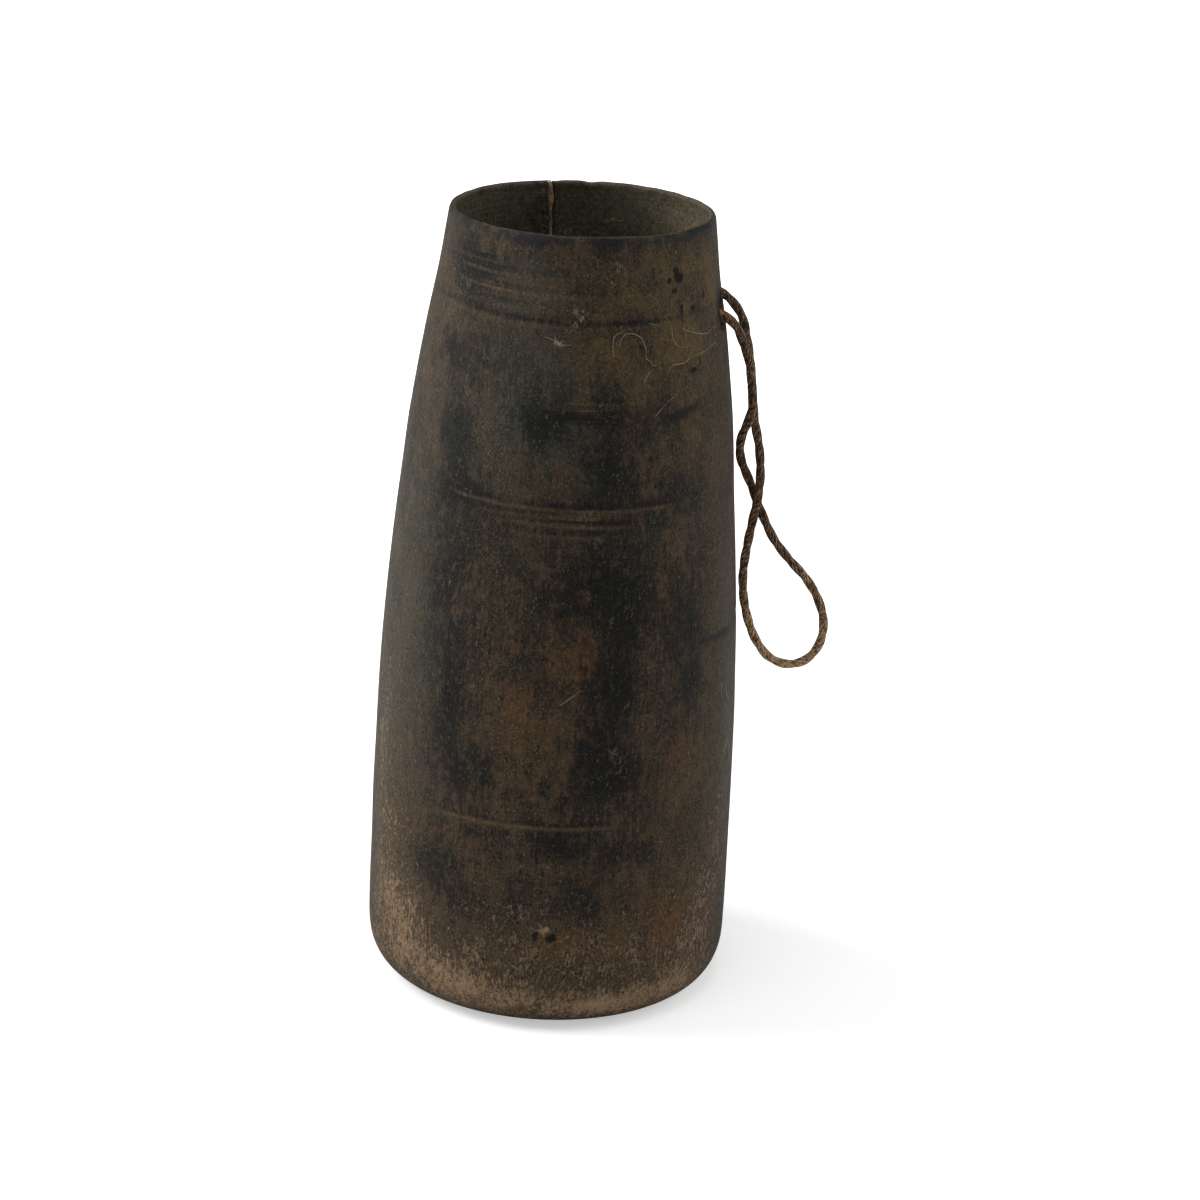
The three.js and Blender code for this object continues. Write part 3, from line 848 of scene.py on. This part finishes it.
@dataclass(frozen=True)
class StopperKnot:
    """An overhand knot with a short tail, pulled up against the inner wall."""

    section: CordSection
    lobe_radius = 3.3 * MM
    lobe_rise = 2.2 * MM
    lobe_steps = 18
    drawn_diameter = 4.2 * MM
    step = 0.7 * MM
    # The cord's way in, its tail and how far the knot stands off the wall, in millimetres.
    way_in = ((0.2, 0.2, -6), (0.8, 0.4, -3.6))
    tail = ((4.6, -3.4, 4.6), (6.4, -4.2, 8.0))
    stand_off = (0, 0, 5.2)

    def build(self, name: str, node: str, end: Vector, inward: Vector, roll: float) -> Piece:
        """Makes one knot.

        Args:
            name: The piece's name.
            node: The frame's node that it stands for.
            end: Where the cord goes into it.
            inward: Direction from the wall into the pot.
            roll: Turn about that direction in degrees.

        Returns:
            The knot.
        """
        points = [Vector(point) * MM for point in self.way_in]
        for step in range(self.lobe_steps + 1):
            turn = FULL_TURN * (0.13 + 0.80 * step / self.lobe_steps)
            out = self.lobe_radius + self.lobe_rise * math.cos(3 * turn)
            rise = self.lobe_rise * math.sin(3 * turn)
            points.append(Vector((out * math.cos(2 * turn), out * math.sin(2 * turn), rise)))
        points += [Vector(point) * MM for point in self.tail]
        turned = Quaternion((0, 0, 1), math.radians(roll))
        facing = Vector((0, 0, 1)).rotation_difference(inward)
        off = Vector(self.stand_off) * MM
        placed = [end + facing @ (turned @ (point + off)) for point in points]
        slim = CordSection(diameter=self.drawn_diameter, pitch=self.section.pitch)
        knot = dress(twisted_tube(name, centripetal(placed, self.step), slim), 80, PlantFibre().material())
        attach(knot, Body.POT.value)
        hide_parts(node)
        return knot


@dataclass(frozen=True)
class LooseFibres:
    """Stray hairs of lint and bark fibre that cling to the greasy wall."""

    form: PotForm
    # Azimuth in degrees and height in millimetres of each hair's points on the outer wall.
    hairs = (
        ((-61.4, 356), (-58.2, 354), (-55.9, 350), (-53.5, 345), (-50.9, 341), (-50.5, 337), (-50, 334),
         (-48.8, 332), (-44.6, 330), (-40.5, 330), (-39.7, 329), (-41.9, 326), (-43.7, 323)),
        ((-45.4, 339), (-42.6, 337), (-37.7, 335), (-30, 333), (-25.5, 334), (-20.5, 334)),
        ((-57.2, 314), (-55.5, 316), (-54.1, 317), (-53.5, 320), (-51.1, 323), (-45.9, 323), (-40.2, 325),
         (-36.3, 325), (-29.8, 326), (-24.4, 327), (-21.5, 325)),
        ((-75.5, 329), (-75.8, 334), (-75.3, 338), (-72.9, 340), (-71.3, 341)),
        ((-73.2, 333), (-72.9, 336), (-70.9, 339), (-67.5, 339), (-64.6, 337), (-63.3, 334), (-62.4, 331),
         (-62.7, 328), (-60.7, 326), (-59.4, 324), (-55.8, 326), (-53.4, 329)),
        ((-63.3, 317), (-62, 320), (-60.3, 322)),
        ((-47.3, 313), (-49.4, 309), (-51.9, 308), (-54.2, 306), (-57.3, 303), (-59.1, 301)),
        ((-61.1, 343), (-56, 342), (-55, 344)),
        ((-118.7, 236), (-117.4, 234), (-116.1, 232)),
        ((-88.7, 167), (-85.2, 171.4), (-82.1, 175)),
        ((-135.6, 74), (-134.9, 73), (-134.2, 71.8)),
        ((-10.5, 159), (-12.4, 156), (-13.7, 153)),
        ((-10.6, 135), (-15.1, 131), (-19.4, 125), (-23.6, 118)),
        ((-16.4, 130), (-14.4, 122), (-9.8, 113)),
        ((-16, 150), (-19, 153), (-20, 158)),
        ((-101.6, 336.6), (-99.6, 336.4), (-98.4, 335.6)),
        ((-98.6, 336.2), (-97.2, 335.2), (-95.6, 333.8), (-93.9, 333)),
        ((-98.2, 335.4), (-96.8, 334.4), (-95.2, 333.2)),
        ((-97.9, 337.6), (-97.6, 336.4), (-97, 335)),
        ((-96.2, 335), (-94.9, 334.2), (-93.2, 333.8), (-91.6, 334.2)),
    )
    # Azimuth, height, length and spread of each tuft inside the rim, and how many fibres it has.
    tufts = ((76, 361, 4, 2, 5), (108, 374, 4, 3, 6), (90, 352, 4, 40, 46))
    thickness = 0.08 * MM
    seed = 17
    highest = 374
    reach_inside = 20 * MM
    reach_outside = 120 * MM

    def build(self, body: Piece) -> Piece:
        """Makes all of the fibres as one piece.

        Args:
            body: The carved body that they lie on.

        Returns:
            The piece, which rides on the pot.
        """
        bpy.context.view_layer.update()
        chance = random.Random(self.seed)
        routes = [self._lay(body, hair, False) for hair in self.hairs]
        for azimuth, height, length, spread, count in self.tufts:
            for _ in range(count):
                turn = chance.gauss(azimuth, spread / 2)
                z = chance.gauss(height, min(spread, 9) / 2)
                heading = chance.uniform(0, FULL_TURN)
                bend = chance.uniform(-1.2, 1.2)
                points = []
                for step in range(4):
                    points.append((turn, z))
                    turn += length / 3 * math.cos(heading) * chance.uniform(0.6, 1.2)
                    z += length / 3 * math.sin(heading) * chance.uniform(0.6, 1.2)
                    heading += bend
                routes.append(self._lay(body, points, True))
        shape = bmesh.new()
        for route in routes:
            if len(route) > 2:
                self._thread(shape, centripetal(route, 1.2 * MM))
        return dress(solid_from(shape, "loose_fibres"), 80, LintFibre().material())

    def _lay(self, body: Piece, points: list[tuple[float, float]], inside: bool) -> list[Vector]:
        """Lays points given by azimuth and height on the wall's real surface."""
        laid = []
        for azimuth, height in points:
            z = min(height, self.highest) * MM
            start = self.form.polar(azimuth, self.reach_inside if inside else self.reach_outside, z)
            way = self.form.polar(azimuth, 60 * MM, z) - start
            found, place, normal, _ = body.ray_cast(start, way.normalized())
            if found and normal.dot(way) < 0:
                laid.append(place + normal * self.thickness)
        return laid

    def _thread(self, shape: bmesh.types.BMesh, line: list[Vector]) -> None:
        """Adds one tapering thread of four sides along a line."""
        rings = []
        for index, point in enumerate(line):
            ahead = line[min(index + 1, len(line) - 1)] - line[max(index - 1, 0)]
            side = ahead.cross(Vector((point.x, point.y, 0))).normalized()
            lift = ahead.cross(side).normalized()
            share = index / (len(line) - 1)
            reach = self.thickness * (0.35 + 0.65 * math.sin(math.pi * (0.15 + 0.75 * share)))
            corners = ((1, 0), (0, 1), (-1, 0), (0, -1))
            rings.append([point + (side * x + lift * y) * reach for x, y in corners])
        loft(shape, rings)


# Mesh helpers


def add_object(name: str, data: bpy.types.ID) -> Piece:
    """A new object at the origin, linked to the scene."""
    made = bpy.data.objects.new(name, data)
    bpy.context.scene.collection.objects.link(made)
    return made


def object_from(shape: bmesh.types.BMesh, name: str) -> Piece:
    """Turns a bmesh into an object and frees the bmesh."""
    mesh = bpy.data.meshes.new(name)
    shape.to_mesh(mesh)
    shape.free()
    return add_object(name, mesh)


def solid_from(shape: bmesh.types.BMesh, name: str) -> Piece:
    """Turns a closed bmesh into an object whose normals point out."""
    bmesh.ops.recalc_face_normals(shape, faces=shape.faces)
    return object_from(shape, name)


def evaluated_mesh(made: Piece) -> bpy.types.Mesh:
    """A new mesh of what an object looks like with its modifiers or its bevel."""
    bpy.context.view_layer.update()
    graph = bpy.context.evaluated_depsgraph_get()
    return bpy.data.meshes.new_from_object(made.evaluated_get(graph))


def loft(shape: bmesh.types.BMesh, rings: list[list[Vector]]) -> None:
    """Adds a closed skin through rings of points, with a cap at each end."""
    rows = [[shape.verts.new(point) for point in ring] for ring in rings]
    for before, after in zip(rows, rows[1:]):
        for corner in range(len(before)):
            other = (corner + 1) % len(before)
            shape.faces.new((before[corner], before[other], after[other], after[corner]))
    shape.faces.new(rows[0])
    shape.faces.new(rows[-1])


def lofted(name: str, rings: list[list[Vector]]) -> Piece:
    """A closed skin through rings of points as an object."""
    shape = bmesh.new()
    loft(shape, rings)
    return solid_from(shape, name)


def cut(body: Piece, cutters: list[Piece]) -> None:
    """Cuts closed shapes out of a body and removes them.

    Args:
        body: The object to cut, whose mesh is replaced.
        cutters: The closed shapes.
    """
    for cutter in cutters:
        modifier = body.modifiers.new(cutter.name, "BOOLEAN")
        modifier.operation = "DIFFERENCE"
        modifier.solver = "MANIFOLD"
        modifier.object = cutter
    mesh = evaluated_mesh(body)
    body.modifiers.clear()
    body.data = mesh
    mesh.materials.clear()
    mesh.polygons.foreach_set("material_index", [0] * len(mesh.polygons))
    for cutter in cutters:
        bpy.data.objects.remove(cutter)


def dress(made: Piece, angle: float, material: bpy.types.Material) -> Piece:
    """Shades an object smooth and gives it its material.

    Args:
        made: The object.
        angle: Edges sharper than this, in degrees, stay sharp.
        material: Its only material.

    Returns:
        The same object.
    """
    made.data.polygons.foreach_set("use_smooth", [True] * len(made.data.polygons))
    made.data.set_sharp_from_angle(angle=math.radians(angle))
    made.data.materials.append(material)
    return made


# Finishes


def linear(colour: str) -> tuple[float, float, float, float]:
    """An sRGB hex colour as linear red, green, blue and alpha."""
    found = []
    for start in (1, 3, 5):
        value = int(colour[start : start + 2], 16) / 255
        found.append(value / 12.92 if value <= 0.04045 else ((value + 0.055) / 1.055) ** 2.4)
    return (*found, 1.0)


class Finish:
    """A material's node tree. Its patterns and masks have names, and its colours are laid over each other."""

    def __init__(self, name: str, base: str = "", lay: str = "", **shader: float) -> None:
        """Starts a material.

        Args:
            name: The material's name.
            base: The lowest colour, where it has more than one.
            lay: The attribute that its patterns are laid out on, or nothing for the object's own space.
            **shader: Values for the shader's own sockets, with underscores for spaces.
        """
        self.result = bpy.data.materials.new(name)
        self.result.use_nodes = True
        self.tree = self.result.node_tree
        self.shader = self.tree.nodes["Principled BSDF"]
        for socket, value in shader.items():
            self.shader.inputs[socket.replace("_", " ")].default_value = value
        self.named: dict[str, Socket] = {}
        self.colour = None
        if base:
            plain = self.add("RGB")
            plain.outputs[0].default_value = linear(base)
            self.colour = plain.outputs[0]
        if lay:
            self.place = self.add("Attribute", {"attribute_name": lay}).outputs["Vector"]
        else:
            self.place = self.add("TexCoord").outputs["Object"]

    def add(self, kind: str, settings: dict | None = None, links: dict | None = None) -> bpy.types.Node:
        """Adds a node.

        Args:
            kind: The node's type without its ShaderNode prefix.
            settings: Properties or input values by name, or input values by number.
            links: The output socket that feeds each input.

        Returns:
            The node.
        """
        node = self.tree.nodes.new("ShaderNode" + kind)
        for name, value in (settings or {}).items():
            if isinstance(name, str) and hasattr(node, name):
                setattr(node, name, value)
            else:
                node.inputs[name].default_value = value
        for socket, source in (links or {}).items():
            self.tree.links.new(source, node.inputs[socket])
        return node

    def pattern(
        self,
        name: str,
        size: tuple[float, float, float],
        detail: float,
        rough: float = 0.6,
        seed: float = 0.0,
        turn: float = 0.0,
    ) -> Socket:
        """A noise whose cells have a real size, about -1 to 1 with 0 in the middle.

        Args:
            name: The name it is kept under.
            size: Cell size in millimetres along each axis.
            detail: Octaves of finer noise.
            rough: Strength of each finer octave.
            seed: Shift in metres that makes it differ from another of the same size.
            turn: Turn of the cells about the second axis in degrees.

        Returns:
            The noise's value.
        """
        settings = {
            "vector_type": "TEXTURE",
            "Scale": tuple(length * MM for length in size),
            "Location": (seed, seed, seed),
            "Rotation": (0, math.radians(turn), 0),
        }
        placed = self.add("Mapping", settings, {"Vector": self.place}).outputs[0]
        settings = {"Scale": 1.0, "Detail": detail, "Roughness": rough}
        cells = self.add("TexNoise", settings, {"Vector": placed}).outputs["Fac"]
        spread = {"operation": "MULTIPLY_ADD", 1: 4.0, 2: -2.0}
        self.named[name] = self.add("Math", spread, {0: cells}).outputs[0]
        return self.named[name]

    def mask(self, name: str, low: float, high: float, most: float, **weights: float) -> Socket:
        """A smooth step on a weighted sum.

        Args:
            name: The name it is kept under.
            low: Sum at which the mask starts.
            high: Sum at which it is full.
            most: Its full value.
            **weights: Weights of patterns, masks and, in capitals, tints.

        Returns:
            The mask.
        """
        total = None
        for part, weight in weights.items():
            links = {0: self.named[part]} if total is None else {0: self.named[part], 2: total}
            total = self.add("Math", {"operation": "MULTIPLY_ADD", 1: weight, 2: 0.0}, links).outputs[0]
        settings = {"interpolation_type": "SMOOTHSTEP", 1: low, 2: high, 3: 0.0, 4: most}
        self.named[name] = self.add("MapRange", settings, {0: total}).outputs[0]
        return self.named[name]

    def layer(self, name: str, colour: str, *steps: float, **weights: float) -> None:
        """Lays a colour over those before it by a mask, whose arguments are those of mask."""
        mask = self.mask(name, *steps, **weights)
        settings = {"data_type": "RGBA", 7: linear(colour)}
        self.colour = self.add("Mix", settings, {0: mask, 6: self.colour}).outputs[2]

    def done(self, **sources: Socket) -> bpy.types.Material:
        """Links the colour and the given shader sockets, with underscores for spaces."""
        if self.colour is not None:
            sources["Base_Color"] = self.colour
        for socket, source in sources.items():
            self.tree.links.new(source, self.shader.inputs[socket.replace("_", " ")])
        return self.result


@dataclass(frozen=True)
class SmokedWood:
    """Old carved hardwood, darkened by smoking and milk fat and polished by hands.

    It looks satin and mottled, with fine upright fibre, pale dust in its pores and bare tan wood where
    the foot has worn.
    """

    brown: str = "#433a2e"
    shade: str = "#171717"
    warm: str = "#563d29"
    ochre: str = "#5c4a2c"
    smoke_and_sheen: str = "#41433c"
    soot: str = "#101314"
    spot_and_shade: str = "#080807"
    worn: str = "#a1876a"
    line: str = "#735e44"
    fleck: str = "#866d4e"
    rust: str = "#74482a"
    straw: str = "#927542"
    pore: str = "#0a0908"
    dust: str = "#62604f"
    polish: str = "#171c1f"
    smoothest: float = 0.34
    roughest: float = 0.76
    scratch_turns: tuple[float, ...] = (28, -42, 82)

    def material(self) -> bpy.types.Material:
        """The wood as a node material."""
        wood = Finish("smoked_carved_hardwood", self.brown, Specular_IOR_Level=0.08)
        for tint in Tint:
            wood.named[tint.name] = wood.add("Attribute", {"attribute_name": tint.value}).outputs["Fac"]
        wood.pattern("broad", (55, 55, 90), 3)
        wood.pattern("mottle", (15, 15, 24), 7, 0.75, 0.31)
        wood.pattern("blotch", (4.5, 4.5, 7), 5, 0.75, 0.47)
        wood.pattern("grain", (1.4, 1.4, 2.8), 4, 0.8, 0.19)
        wood.pattern("fibre", (1.1, 1.1, 20), 4, 0.7)
        wood.pattern("chatter", (60, 60, 1.6), 3)
        wood.pattern("speck", (1.1, 1.1, 1.2), 3, 0.75, 0.11)
        wood.pattern("pore", (1.0, 1.0, 2.0), 3, 0.7, 0.17)
        wood.pattern("grit", (0.9, 0.9, 1.1), 2, 0.7, 0.23)
        lit = {"mottle": 1, "blotch": 1, "grain": 0.7, "fibre": 0.5, "chatter": 0.35}
        wood.layer("shade", self.shade, -0.7, 0.9, 0.95, **lit)
        wood.layer("warm", self.warm, 0, 1.4, 0.75, WARM=1.1, broad=0.4, mottle=-0.5, blotch=-0.6, grain=0.9)
        wood.layer("ochre", self.ochre, 0.2, 1.4, 0.75, OCHRE=1.1, mottle=-0.6, blotch=0.4, grain=0.9)
        # Grey-green smoke tone, and painted sheen near the pot's two sides.
        wood.layer("smoke_and_sheen", self.smoke_and_sheen, 0, 1.2, 0.8, SMOKE=1.1, mottle=0.6, blotch=0.7, grain=0.6)
        # Soot, with the painted shade above the tool grooves and down the crack's open edge.
        sooty = {"SOOT": 1.4, "broad": 0.5, "mottle": 1, "blotch": 0.7, "grain": 0.7, "fibre": 0.2}
        wood.layer("soot", self.soot, -0.1, 1.4, 0.9, **sooty)
        # Bare worn wood, and the painted highlight along the front of the lip.
        bare = {"WORN": 2, "mottle": 0.8, "blotch": 1, "grain": 1.6, "speck": 0.7, "fibre": 0.4}
        wood.layer("worn", self.worn, 0.75, 2.9, 0.9, **bare)
        wood.layer("rusty", self.rust, 0.6, 1.8, 0.6, WARM=0.6, WORN=0.4, blotch=-1, mottle=-0.5, grain=0.8)
        # The pale lines just below the tool grooves: painted highlight.
        wood.layer("line", self.line, 0.3, 1.6, 0.5, LINE=1.4, mottle=0.4, blotch=0.7, grain=0.6)
        wood.layer("crests", self.line, 0.7, 2.0, 0.6, TOOLED=1.2, chatter=1, grain=0.6)
        wood.layer("troughs", self.soot, 0.7, 2.0, 0.7, TOOLED=1.2, chatter=-1, grain=0.3)
        wood.layer("dust", self.dust, 0.2, 1.7, 0.85, INSIDE=1.1, mottle=0.7, blotch=0.7, grain=0.7)
        wood.layer("fleck", self.fleck, 0.15, 1.1, 0.45, speck=1, blotch=0.1, soot=-0.4, worn=0.3)
        for turn in self.scratch_turns:
            wood.pattern("hair", (0.45, 2.0, 6), 2, 0.5, 0.23 + turn / 1000, turn)
            wood.layer("scratch", self.fleck, 0.75, 1.15, 0.3, hair=1, mottle=0.2, INSIDE=0.15)
        for seed, size, colour, where, most in (
            (0.29, (2.6, 2.6, 3.6), self.straw, "blotch", 0.55),
            (0.37, (1.9, 1.9, 2.6), self.rust, "mottle", 0.6),
            (0.41, (3.4, 3.4, 5.0), self.fleck, "mottle", 0.35),
        ):
            crossing = wood.pattern("crossing", size, 2, 0.65, seed)
            wood.named["thread"] = wood.add("Math", {"operation": "ABSOLUTE"}, {0: crossing}).outputs[0]
            parts = {"thread": -1, where: 0.22, "speck": 0.14, "soot": -0.14}
            wood.layer("crumbs", colour, -0.08, 0.18, most, **parts)
        wood.layer("rough_skin", self.shade, 0, 1.1, 0.5, grit=1, blotch=0.2)
        wood.layer("bright", self.fleck, 0.1, 1.2, 0.4, grit=-1, soot=-0.4)
        wood.layer("pits", self.pore, 0.3, 1, 0.85, pore=1, fibre=0.35, blotch=0.3)
        # Dark spots, and painted shade over the two cord holes.
        wood.layer("spot_and_shade", self.spot_and_shade, 0.5, 0.95, 0.92, SPOT=1.5, blotch=0.7, grain=0.5)
        wood.layer("polish", self.polish, 0.3, 1.1, 0.85, LIP=1.1, mottle=0.8, blotch=0.4, grain=0.3)
        rough = wood.mask("rough", -0.8, 0.8, 1, soot=-0.3, polish=-0.7, mottle=0.25, fleck=0.5, pits=0.4)
        rough = wood.add("MapRange", {3: self.smoothest, 4: self.roughest}, {0: rough}).outputs[0]
        raised = {"fibre": 0.2, "speck": 0.2, "pits": -0.9, "blotch": 0.5, "chatter": 0.25, "grain": 0.3}
        relief = wood.mask("relief", -1.6, 1.6, 1, **raised)
        bump = wood.add("Bump", {"Strength": 0.9, "Distance": 1.4 * MM}, {"Height": relief}).outputs[0]
        return wood.done(Roughness=rough, Normal=bump)


@dataclass(frozen=True)
class DriedGum:
    """Gum and fibre dried in the crack: pale, matt and crumbly, stained brown where fat has reached it."""

    pale: str = "#bb9f7c"
    stain: str = "#463425"

    def material(self) -> bpy.types.Material:
        """The filler as a node material."""
        gum = Finish("dried_gum_filler", self.pale, Roughness=0.85, Specular_IOR_Level=0.3)
        gum.pattern("lumps", (2.2, 2.2, 5), 4)
        grit = gum.pattern("grit", (0.5, 0.5, 0.7), 2)
        gum.layer("stain", self.stain, -0.4, 1, 0.9, lumps=1, grit=0.6)
        bump = gum.add("Bump", {"Strength": 0.6, "Distance": 0.4 * MM}, {"Height": grit}).outputs[0]
        return gum.done(Normal=bump)


@dataclass(frozen=True)
class LintFibre:
    """Fine pale lint and bark hairs, greyed by dust, which catch the light as thin bright lines."""

    pale: str = "#b3ac9a"
    golden: str = "#93794e"

    def material(self) -> bpy.types.Material:
        """The fibres as a node material."""
        lint = Finish("dusty_lint_fibre", self.pale, Roughness=0.7, Specular_IOR_Level=0.3)
        lint.pattern("patch", (12, 12, 12), 2)
        lint.layer("golden", self.golden, -0.3, 0.2, 1, patch=1)
        return lint.done()


@dataclass(frozen=True)
class PlantFibre:
    """Twisted bark fibre, greasy and dark brown, with paler fibres on the outside of each ply, partly worn
    and partly painted highlight.

    It reads the attribute that winds with the cord, so its streaks follow the lay.
    """

    dark: str = "#150d08"
    brown: str = "#855e3a"
    pale: str = "#e2c195"

    def material(self) -> bpy.types.Material:
        """The cord as a node material."""
        surface = {"Roughness": 0.8, "Specular_IOR_Level": 0.2, "Sheen_Weight": 0.1}
        cord = Finish("twisted_bark_fibre", self.dark, LAY_ATTRIBUTE, **surface)
        cord.named["rubbed"] = cord.add("Attribute", {"attribute_name": RUBBED_ATTRIBUTE}).outputs["Fac"]
        cord.pattern("strand", (0.62, 0.62, 2.6), 3)
        cord.pattern("hair", (0.45, 0.45, 1.6), 2, 0.6, 0.3)
        cord.pattern("patch", (40, 40, 14), 3, 0.6, 0.6)
        cord.layer("lit", self.brown, -0.35, 0.6, 0.95, strand=1.2, hair=0.8, patch=0.25, rubbed=0.7)
        # Pale fibres where the cord is rubbed, and painted highlight flecks along the strands.
        cord.layer("pale", self.pale, 0.6, 1.3, 0.9, strand=0.9, hair=1.2, patch=0.25, rubbed=1)
        relief = cord.mask("relief", -1.4, 1.4, 1, strand=1, hair=0.7)
        bump = cord.add("Bump", {"Strength": 0.9, "Distance": 0.8 * MM}, {"Height": relief}).outputs[0]
        return cord.done(Normal=bump)


# Studio


class Studio:
    """A pale sweep, soft lamps and the camera of the photo."""

    camera_place = (0.0, -1.5723, 0.77505)
    camera_aim = (0.01864, 0.0, 0.18792)
    camera_roll = 3.012
    lens = 105.03
    sensor = 36.0
    # Name, place, size in metres and power in watts of each lamp.
    lamps = (
        ("key", (-1.67, 0.3, 1.15), 1.3, 44),
        ("fill", (1.67, 0.3, 0.95), 1.3, 14),
        ("top", (-0.1, -0.3, 2.0), 1.0, 10),
    )
    lamp_aim = (0, 0, 0.19)
    surround_light = 0.32
    floor_size = 8
    floor_drop = 0.2 * MM
    paper = "#e6e6e6"

    def build(self) -> None:
        """Sets up the floor, the world, the lamps and the camera."""
        bpy.context.scene.view_settings.view_transform = "Standard"
        self._camera()
        self._world()
        self._floor()
        for lamp in self.lamps:
            self._lamp(*lamp)

    def _camera(self) -> None:
        """Puts the camera at the photo's viewpoint, turned by its small roll."""
        data = bpy.data.cameras.new("photo_camera")
        data.lens = self.lens
        data.sensor_width = self.sensor
        camera = add_object("photo_camera", data)
        camera.location = self.camera_place
        look = Vector(self.camera_aim) - Vector(self.camera_place)
        roll = Matrix.Rotation(math.radians(self.camera_roll), 4, "Z")
        camera.rotation_euler = (look.to_track_quat("-Z", "Y").to_matrix().to_4x4() @ roll).to_euler()
        bpy.context.scene.camera = camera

    def _world(self) -> None:
        """A world that lights softly and shows white to the camera."""
        world = bpy.data.worlds.new("white_surround")
        bpy.context.scene.world = world
        world.use_nodes = True
        tree = world.node_tree
        background = tree.nodes["Background"]
        path = tree.nodes.new("ShaderNodeLightPath")
        level = tree.nodes.new("ShaderNodeMapRange")
        level.inputs[3].default_value = self.surround_light
        level.inputs[4].default_value = 1.0
        tree.links.new(path.outputs["Is Camera Ray"], level.inputs[0])
        tree.links.new(level.outputs[0], background.inputs["Strength"])
        background.inputs["Color"].default_value = (1, 1, 1, 1)

    def _floor(self) -> None:
        """A wide pale floor that shows white to the camera, apart from the pot's shadow."""
        shape = bmesh.new()
        below = Matrix.Translation((0, 0, -self.floor_drop))
        bmesh.ops.create_grid(shape, x_segments=8, y_segments=8, size=self.floor_size, matrix=below)
        floor = object_from(shape, "studio_floor")
        finish = Finish("matt_white_paper", Roughness=1.0, Specular_IOR_Level=0.0)
        finish.shader.inputs["Base Color"].default_value = linear(self.paper)
        distance = finish.add("VectorMath", {"operation": "LENGTH"}, {0: finish.place}).outputs["Value"]
        white = finish.add("MapRange", {1: 0.3, 2: 1.1, 3: 0.45, 4: 1.0}, {0: distance}).outputs[0]
        seen = finish.add("LightPath").outputs["Is Camera Ray"]
        glow = finish.add("Math", {"operation": "MULTIPLY"}, {0: seen, 1: white}).outputs[0]
        finish.shader.inputs["Emission Color"].default_value = (1, 1, 1, 1)
        floor.data.materials.append(finish.done(Emission_Strength=glow))

    def _lamp(self, name: str, place: tuple[float, float, float], size: float, power: float) -> None:
        """A square soft lamp that faces the middle of the pot."""
        data = bpy.data.lights.new(name, "AREA")
        data.shape = "SQUARE"
        data.size = size
        data.energy = power
        lamp = add_object(name, data)
        lamp.location = place
        look = Vector(self.lamp_aim) - Vector(place)
        lamp.rotation_euler = look.to_track_quat("-Z", "Y").to_euler()


def main() -> None:
    """Builds the pot around the frame, piece by piece."""
    logging.basicConfig(level=logging.INFO, format="%(name)s: %(message)s")
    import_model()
    Studio().build()
    form = PotForm()
    section = CordSection()
    cord = CordLoop(form, section)
    line = cord.line()
    knots = []
    for name, node, end, after, roll in (
        ("front_knot", "front_stopper_knot", line[0], line[4], 20),
        ("rear_knot", "rear_stopper_knot", line[-1], line[-5], 200),
    ):
        knots.append(StopperKnot(section).build(name, node, end, (end - after).normalized(), roll))
        LOG.info("%s rides on %s", name, Body.POT.value)
    cord.build(knots)
    LOG.info("plied_cord bends between %s and %s", Body.POT.value, Body.LOOP.value)
    crack = DryingCrack(form)
    holes = [CordHole(form, -8.4, 338.9 * MM), CordHole(form, 12.5, 339.4 * MM)]
    body = CarvedBody(form).build(holes, crack)
    filler = crack.filler()
    fibres = LooseFibres(form).build(body)
    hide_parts("pot_body")
    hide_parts("crack_filler")
    for piece, slot in ((body, Slot.WOOD), (filler, Slot.FILLER), (fibres, Slot.FIBRE)):
        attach(piece, Body.POT.value)
        LOG.info("%s rides on %s and has %d faces", piece.name, Body.POT.value, len(piece.data.polygons))


if __name__ == "__main__":
    main()
